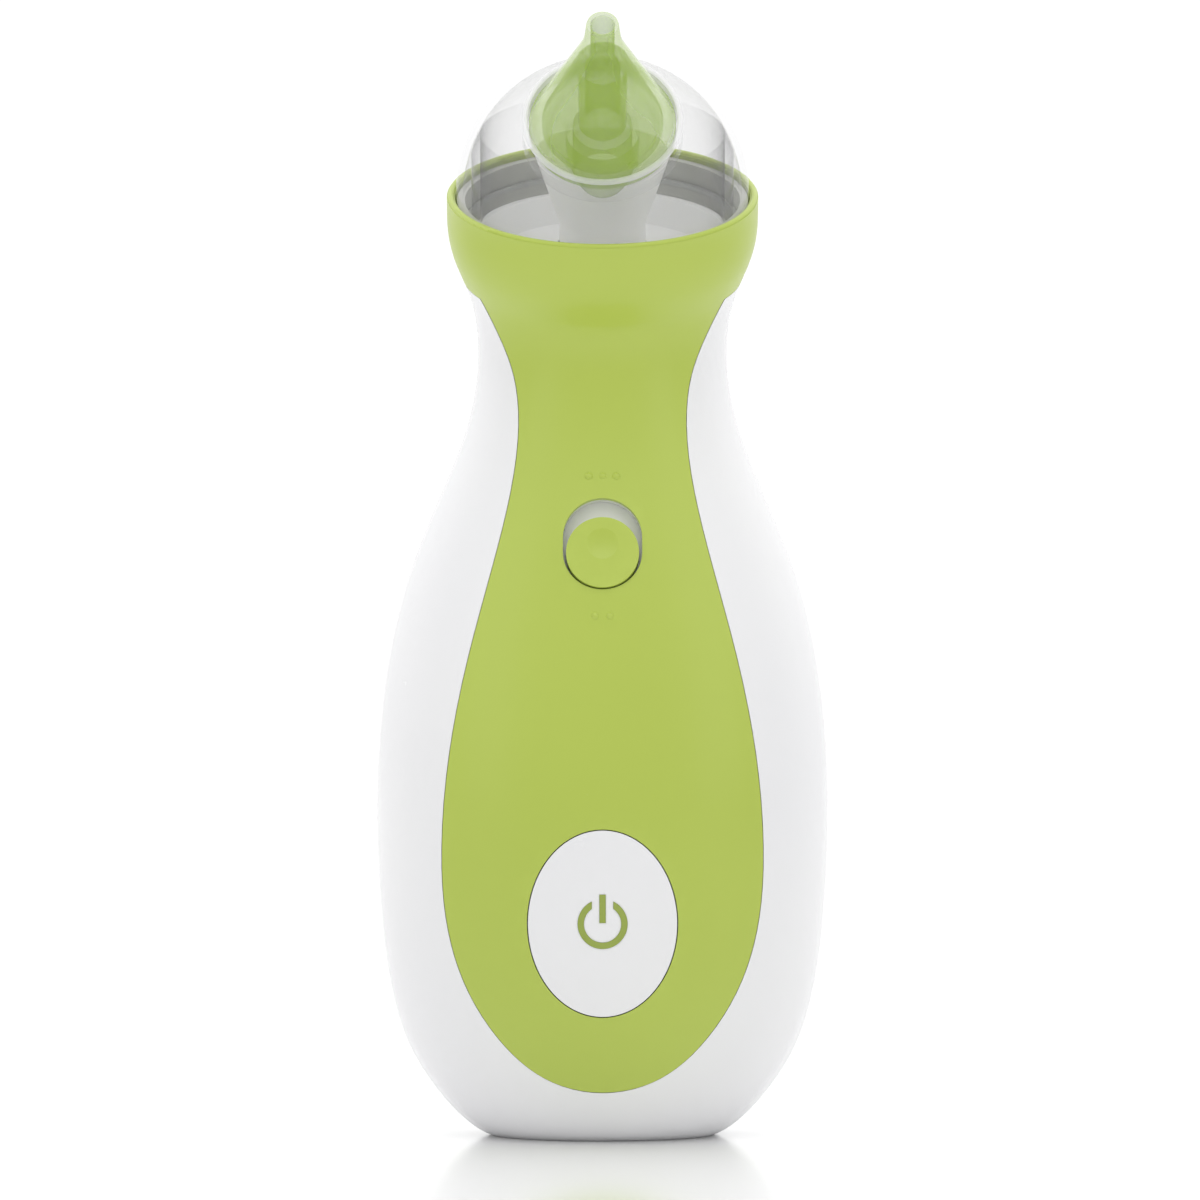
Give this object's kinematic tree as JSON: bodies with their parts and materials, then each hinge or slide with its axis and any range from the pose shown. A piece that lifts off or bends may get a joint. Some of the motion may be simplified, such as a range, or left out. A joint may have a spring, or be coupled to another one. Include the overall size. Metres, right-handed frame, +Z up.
{
  "type": "nasal aspirator",
  "caption": "Upright bottle-shaped electric nasal aspirator with a clear round head, tilted nose cone, oval push button, slide switch and pump inside.",
  "frame": {"origin": "middle of the flat foot that the aspirator stands on", "axes": "+Z up along the housing, -Y towards the front with the button, +X to the right seen from the back"},
  "size_m": [0.0808, 0.0774, 0.1996],
  "materials": {
    "white_shell": "glossy",
    "green_panel": "glossy",
    "green_mark": "satin",
    "clear_dome": "clear",
    "clear_sleeve": "clear",
    "green_cone": "translucent",
    "frosted": "frosted",
    "smoke_grey": "satin",
    "white_insert": "satin",
    "silicone": "matte",
    "black_rubber": "matte",
    "chassis_grey": "matte",
    "board_green": "satin",
    "chip_black": "matte",
    "steel": "brushed",
    "spring_steel": "bright",
    "cell_wrap": "satin",
    "ferrite": "matte",
    "copper": "lacquered",
    "pump_plastic": "satin",
    "hose": "translucent",
    "felt": "felt",
    "wire_red": "satin"
  },
  "bodies": {
    "housing": {"housing_left": "white_shell", "housing_right": "white_shell", "front_panel": "green_panel", "socket_deck": "white_insert", "port_seal": "black_rubber", "button_spring": "spring_steel", "switch_bezel": "white_insert", "switch_body": "steel", "switch_board": "board_green", "chassis": "chassis_grey", "circuit_board": "board_green", "board_parts": "chip_black", "tact_switch": "steel", "battery_contacts": "spring_steel", "contact_springs": "spring_steel", "housing_screws": "steel", "board_screws": "steel", "motor_can": "steel", "motor_magnets": "ferrite", "motor_end_cap": "white_insert", "pump_case": "pump_plastic", "diaphragm": "black_rubber", "valve_plate": "pump_plastic", "valve_flaps": "silicone", "pump_cover": "pump_plastic", "inlet_hose": "hose", "outlet_hose": "hose", "muffler": "pump_plastic", "muffler_felt": "felt", "motor_wires": "wire_red", "battery_wires": "wire_red", "switch_wires": "wire_red"},
    "head": {"head_base": "smoke_grey", "head_seal": "silicone", "air_filter": "felt"},
    "dome": {"head_dome": "clear_dome"},
    "separator": {"separator_sleeve": "clear_sleeve", "separator_funnel": "frosted"},
    "cone": {"nose_cone": "green_cone"},
    "button": {"power_button": "white_shell", "power_symbol": "green_mark", "tact_plunger": "chip_black"},
    "slider": {"slider_knob": "green_panel", "switch_lever": "chip_black"},
    "door": {"battery_door": "white_shell"},
    "door_fixing": {"door_screw": "steel"},
    "battery": {"cells": "cell_wrap"},
    "rotor": {"armature": "copper", "motor_shaft": "spring_steel", "eccentric": "white_insert"},
    "rod": {"connecting_rod": "white_insert", "crank_bearing": "spring_steel"}
  },
  "joints": [
    {"name": "head_lift", "type": "slide", "parent": "housing", "child": "head", "axis": [0, -0.342, 0.9397], "range_m": [0, 0.032]},
    {"name": "dome_lift", "type": "slide", "parent": "head", "child": "dome", "axis": [0, -0.342, 0.9397], "range_m": [0, 0.044]},
    {"name": "separator_lift", "type": "slide", "parent": "head", "child": "separator", "axis": [0, -0.342, 0.9397], "range_m": [0, 0.022]},
    {"name": "cone_pull", "type": "slide", "parent": "dome", "child": "cone", "axis": [0, -0.809, 0.5878], "range_m": [0, 0.018]},
    {"name": "power_press", "type": "slide", "parent": "housing", "child": "button", "axis": [0, 1, 0], "range_m": [0, 0.001], "stiffness_N_per_m": 600, "springref_m": -0.001, "deforming": ["button_spring"]},
    {"name": "speed_slide", "type": "slide", "parent": "housing", "child": "slider", "axis": [0, 0.3057, 0.9521], "range_m": [0, 0.0034]},
    {"name": "door_open", "type": "slide", "parent": "housing", "child": "door", "axis": [0, 1, 0], "range_m": [0, 0.04]},
    {"name": "cells_out", "type": "slide", "parent": "housing", "child": "battery", "axis": [0, 1, 0], "range_m": [0, 0.02], "deforming": ["contact_springs"]},
    {"name": "door_screw_turn", "type": "hinge", "parent": "door", "child": "door_fixing", "pos_m": [0, 0.03, 0.0862], "axis": [0, 1, 0], "continuous": true},
    {"name": "motor_spin", "type": "hinge", "parent": "housing", "child": "rotor", "pos_m": [0, 0.002, 0.1], "axis": [0, 0, 1], "continuous": true, "deforming": ["diaphragm"]},
    {"name": "rod_orbit", "type": "hinge", "parent": "rotor", "child": "rod", "pos_m": [0, 0.0014, 0.1245], "axis": [0, 0, 1], "continuous": true}
  ],
  "couplings": [
    {"joint": "separator_lift", "follows": "dome_lift", "ratio": 0.5},
    {"joint": "cells_out", "follows": "door_open", "ratio": 0.5},
    {"joint": "rod_orbit", "follows": "motor_spin", "ratio": -1}
  ]
}
